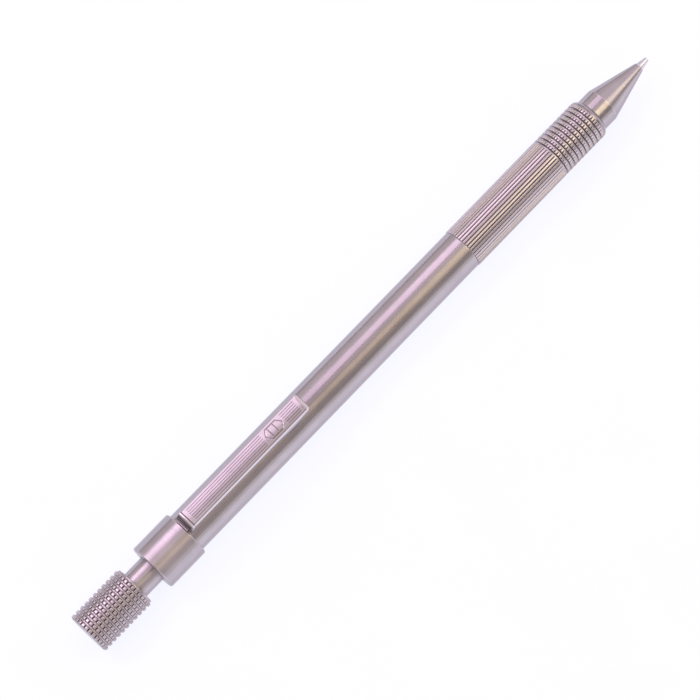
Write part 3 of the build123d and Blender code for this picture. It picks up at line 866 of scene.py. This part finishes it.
def make_tip():
    """Small polished lead guide, with its shank in the nose."""
    start, end, _ = span("tip_sleeve")
    lead_hole = 0.33
    cone_start = 143.2
    corners = [
        (start, lead_hole, 0.0),
        (start, NOSE_BORE, 0.0),
        (cone_start, NOSE_BORE, 0.0),
        (cone_start, 0.825, 0.05),
        (end, 0.45, 0.05),
        (end, lead_hole, 0.02),
    ]
    piece = lathe("tip_guide", corners, tip_metal, TIP_SEGMENTS)
    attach(piece, "housing")
    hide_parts("tip_sleeve")


make_clip_arm()
make_clip_root()
make_grip()
make_nose()
make_tip()


# ------------------------------------------------------------------------------------- inner pieces
def soft_material(name, colour, roughness, cast=0.06, depth=6e-6):
    """Rubber, plastic or graphite: colour cloudy by a share of cast, fine grain in roughness and bump."""
    made = Nodes(name)
    shader = made.shader
    shader.inputs["Metallic"].default_value = 0.0
    cloud = made.remap(made.noise((500.0, 500.0, 500.0), 4.0), 0.0, 1.0, 0.3, 0.7)
    clouded = made.mix(cloud, scaled(colour, 1.0 - cast), scaled(colour, 1.0 + cast))
    made.link(clouded, shader.inputs["Base Color"])
    fine = made.noise((2200.0, 2200.0, 2200.0), 2.0)
    made.link(made.remap(fine, roughness - 0.06, roughness + 0.06, 0.3, 0.7), shader.inputs["Roughness"])
    made.bump(fine, depth)
    return made.material


brass = metal("inner_brass", (0.78, 0.60, 0.30), 0.24, ROUND_MARKS).material
steel = metal("pin_steel", (0.62, 0.61, 0.60), 0.20, ROUND_MARKS).material
eraser_rubber = soft_material("eraser_rubber", (0.80, 0.79, 0.76), 0.72, depth=12e-6)
black_rubber = soft_material("black_rubber", (0.03, 0.03, 0.03), 0.6)
liner_plastic = soft_material("liner_plastic", (0.035, 0.035, 0.04), 0.42)
tube_plastic = soft_material("tube_plastic", (0.62, 0.64, 0.67), 0.3)
graphite = soft_material("graphite", (0.055, 0.055, 0.062), 0.38, cast=0.15)

INNER = {
    "inner_brass": brass,
    "pin_steel": steel,
    "eraser_rubber": eraser_rubber,
    "black_rubber": black_rubber,
    "liner_plastic": liner_plastic,
    "tube_plastic": tube_plastic,
    "graphite": graphite,
    "satin_metal": stem_metal,
    "polished_metal": tip_metal,
}
for part in frame["record"]["subparts"]:
    node = frame["nodes"][part["node"]]
    finish = INNER[part["material_slot"]]
    if not node.material_slots:
        node.data.materials.append(finish)
    for holder in node.material_slots:
        holder.material = finish


# --------------------------------------------------------------------------------- camera and stage
def unit(*v):
    return Vector(v).normalized()


CAMERA_DISTANCE = 0.52
CAMERA_ASIDE = 1.82 * MM
# degrees from the picture's horizontal to the pencil
PENCIL_SLANT = 45.8

to_camera = unit(-0.1616, -0.26207, 0.95142)
along = (Vector((1, 0, 0)) - to_camera * to_camera.x).normalized()
across = to_camera.cross(along)
if across.y > 0:
    across = -across
slant = math.radians(PENCIL_SLANT)
right = along * math.cos(slant) + across * math.sin(slant)
up = along * math.sin(slant) - across * math.cos(slant)
target = Vector(place(68.4, 0.0, 0.0))

camera_data = bpy.data.cameras.new("camera")
camera_data.lens = 149.9
camera_data.sensor_width = 36.0
camera_data.clip_start = 0.01
camera = bpy.data.objects.new("camera", camera_data)
bpy.context.scene.collection.objects.link(camera)
turn = Matrix((right, up, to_camera)).transposed().to_4x4()
eye = target - across * CAMERA_ASIDE + to_camera * CAMERA_DISTANCE
camera.matrix_world = Matrix.Translation(eye) @ turn
bpy.context.scene.camera = camera
bpy.context.scene.view_settings.view_transform = "Standard"

# the lights' places are measured from here
centre = Vector(place(72.0, 0.0, 0.0))


def panel(name, position, size, colour, x_aim=0.0):
    """A rectangular area light of this radiance, aimed at the pencil's axis x_aim past the centre.

    size is (extent along X, height), or (extent along Y, height) for a light near the X axis.
    """
    data = bpy.data.lights.new(name, "AREA")
    data.shape = "RECTANGLE"
    data.size, data.size_y = size
    level = max(colour)
    data.color = scaled(colour, 1 / level)
    data.energy = level * math.pi * size[0] * size[1]
    light = bpy.data.objects.new(name, data)
    bpy.context.scene.collection.objects.link(light)
    back = position - Vector((x_aim, 0, 0))
    back.normalize()
    sideways = Vector((1, 0, 0)) if abs(back.x) < 0.5 else Vector((0, 1, 0))
    sideways = (sideways - back * sideways.dot(back)).normalized()
    upward = back.cross(sideways)
    place_at = Matrix.Translation(centre + position)
    light.matrix_world = place_at @ Matrix((sideways, upward, back)).transposed().to_4x4()


def studio_panel(name, elevation, half_angle, distance, x_low, x_high, colour):
    """A long panel from x_low to x_high, facing the axis.

    elevation runs from the -Y side (0) over the top (90) to the +Y side (180); angles are in degrees.
    """
    height = 2 * distance * math.tan(math.radians(half_angle))
    turn = math.radians(elevation)
    middle = (x_low + x_high) / 2
    position = Vector((middle, -math.cos(turn) * distance, math.sin(turn) * distance))
    panel(name, position, (x_high - x_low, height), colour, middle)


studio_panel("softbox_pink", 118.0, 15.5, 0.60, -0.30, 0.27, (1.27, 1.03, 1.31))
studio_panel("softbox_tail", 127.0, 15.0, 0.60, -0.30, -0.03, (1.50, 1.22, 1.60))
studio_panel("panel_low_back", 150.0, 20.0, 0.60, -0.70, 1.40, (0.35, 0.33, 0.36))
studio_panel("panel_overhead", 88.8, 11.2, 0.75, -0.70, 0.65, (0.36, 0.32, 0.33))
studio_panel("panel_overhead_tail", 91.0, 10.7, 0.75, -0.70, 0.03, (0.42, 0.38, 0.45))
studio_panel("panel_warm", 65.6, 12.0, 0.75, 0.04, 0.65, (0.43, 0.35, 0.21))
studio_panel("lamp_warm", 61.5, 16.5, 0.75, 0.21, 0.85, (1.10, 1.00, 0.68))
studio_panel("panel_low_front", 7.5, 9.75, 0.60, -0.50, 1.40, (0.38, 0.42, 0.44))
studio_panel("panel_side_fill", 38.5, 23.5, 0.60, -0.60, -0.05, (0.56, 0.51, 0.53))
studio_panel("panel_tip_side", 39.0, 11.0, 0.60, 0.45, 1.20, (0.25, 0.22, 0.22))
panel("panel_tip_end", Vector((0.62, 0.0, 0.44)), (0.80, 0.50), (0.46, 0.43, 0.48))
panel("panel_front_low", Vector((0.75, 0.0, 0.12)), (0.90, 0.30), (0.55, 0.52, 0.55))
panel("panel_tail_end", Vector((-0.60, 0.0, 0.45)), (0.80, 0.50), (0.28, 0.25, 0.23))

world = bpy.data.worlds.new("studio")
world.use_nodes = True
world.node_tree.nodes["Background"].inputs["Color"].default_value = (0.35, 0.315, 0.305, 1.0)
bpy.context.scene.world = world


def make_floor():
    half = 2.0
    mesh = bpy.data.meshes.new("floor")
    outline = [(-half, -half), (half, -half), (half, half), (-half, half)]
    mesh.from_pydata([(x, y, FLOOR_Z) for x, y in outline], [], [(0, 1, 2, 3)])
    floor = bpy.data.objects.new("floor", mesh)
    bpy.context.scene.collection.objects.link(floor)
    made = Nodes("floor_paper")
    made.shader.inputs["Roughness"].default_value = 0.9
    made.shader.inputs["Specular IOR Level"].default_value = 0.1
    cloud = made.noise((40.0, 40.0, 40.0), 2.0)
    made.link(made.mix(cloud, (0.16, 0.17, 0.18), (0.18, 0.19, 0.20)), made.shader.inputs["Base Color"])
    made.shader.inputs["Emission Color"].default_value = (0.885, 0.888, 1.0, 1.0)
    made.shader.inputs["Emission Strength"].default_value = 0.95
    made.material.cycles.emission_sampling = "NONE"
    mesh.materials.append(made.material)


make_floor()
